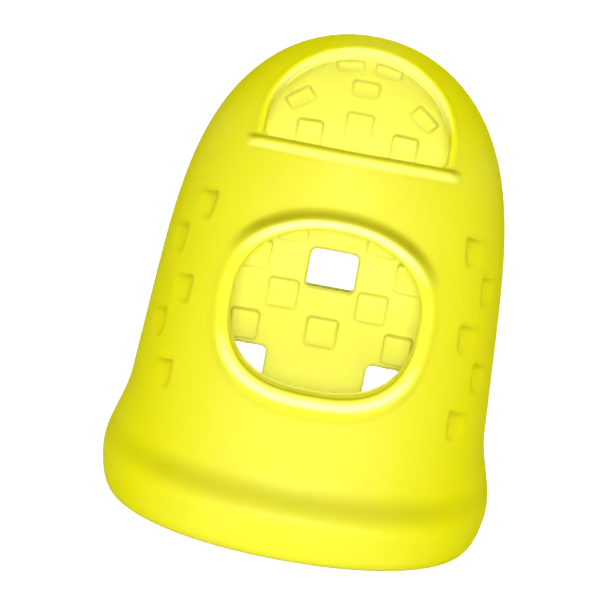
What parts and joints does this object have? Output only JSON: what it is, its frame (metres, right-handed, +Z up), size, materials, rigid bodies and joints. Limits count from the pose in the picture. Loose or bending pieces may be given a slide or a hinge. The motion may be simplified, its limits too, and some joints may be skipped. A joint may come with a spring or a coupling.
{
  "type": "guitar fingertip protector",
  "caption": "Soft silicone fingertip cap with a flared hem, an arched nail window, a raised oval window, square vents and grip pads inside.",
  "frame": {"origin": "centre of the open rim, on the surface that the cap stands on", "axes": "+Z up to the closed tip, -Y to the front with the nail window and the oval window, +X to the right as seen from the front"},
  "size_m": [0.0236, 0.0208, 0.0305],
  "materials": {
    "silicone": "satin translucent yellow silicone"
  },
  "bodies": {
    "root": {"fingertip_cap": "silicone"}
  },
  "joints": []
}
